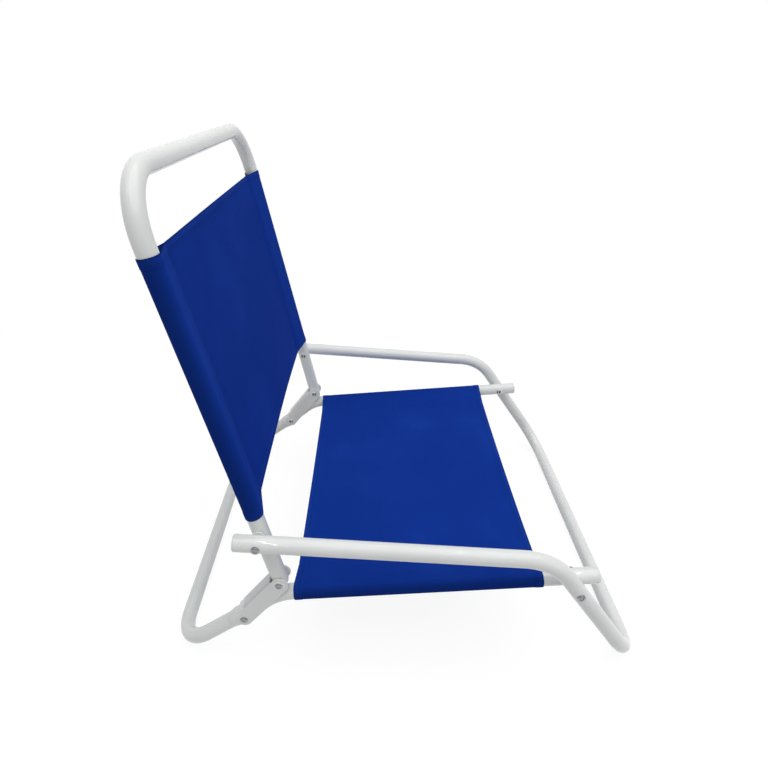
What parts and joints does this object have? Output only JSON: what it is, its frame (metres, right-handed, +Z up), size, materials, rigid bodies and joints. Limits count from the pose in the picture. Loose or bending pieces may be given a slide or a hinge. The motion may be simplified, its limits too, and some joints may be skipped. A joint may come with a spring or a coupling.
{
  "type": "folding_sling_chair",
  "caption": "Low folding beach or camp chair: white powder-coated steel tube frame with blue woven sling seat and back, folding on riveted pivots",
  "frame": {"origin": "On the floor, under the middle of the chair's bounding box", "axes": "+Z up, the chair faces -Y, +X is the sitter's left"},
  "size_m": [0.5696, 0.688, 0.6876],
  "materials": {
    "frame": "gloss white powder coat",
    "cloth": "matte woven",
    "rivet": "zinc plated",
    "plug": "satin"
  },
  "bodies": {
    "front_frame": {"arm_leg_frame": "frame", "arm_plug_left": "plug", "arm_plug_right": "plug", "front_leg_rivet_left": "rivet", "front_leg_rivet_right": "rivet", "front_leg_washer_left": "plug", "front_leg_washer_right": "plug", "arm_rivet_left": "rivet", "arm_rivet_right": "rivet", "arm_washer_left": "plug", "arm_washer_right": "plug"},
    "seat": {"seat_rail_left": "frame", "seat_rail_right": "frame", "seat_rail_plug_left": "plug", "seat_rail_plug_right": "plug", "seat_cloth": "cloth"},
    "rear_leg": {"rear_leg_frame": "frame", "rear_leg_rivet_left": "rivet", "rear_leg_rivet_right": "rivet", "back_foot_rivet_left": "rivet", "back_foot_rivet_right": "rivet"},
    "back": {"back_frame": "frame", "back_cloth": "cloth", "arm_rivet_cap_left": "rivet", "arm_rivet_cap_right": "rivet"}
  },
  "joints": [
    {"name": "seat_fold", "type": "hinge", "parent": "front_frame", "child": "seat", "pos_m": [0, -0.2285, 0.1615], "axis": [1, 0, 0], "range_deg": [0, 12.36]},
    {"name": "rear_leg_fold", "type": "hinge", "parent": "seat", "child": "rear_leg", "pos_m": [0, 0.22095, 0.09253], "axis": [1, 0, 0], "range_deg": [-83.75, 0]},
    {"name": "back_fold", "type": "hinge", "parent": "rear_leg", "child": "back", "pos_m": [0, 0.1655, 0.1615], "axis": [1, 0, 0], "range_deg": [0, 179.75]}
  ],
  "couplings": [
    {"joint": "seat_fold", "follows": "back_fold", "ratio": 0.06876},
    {"joint": "rear_leg_fold", "follows": "back_fold", "ratio": -0.46592}
  ]
}
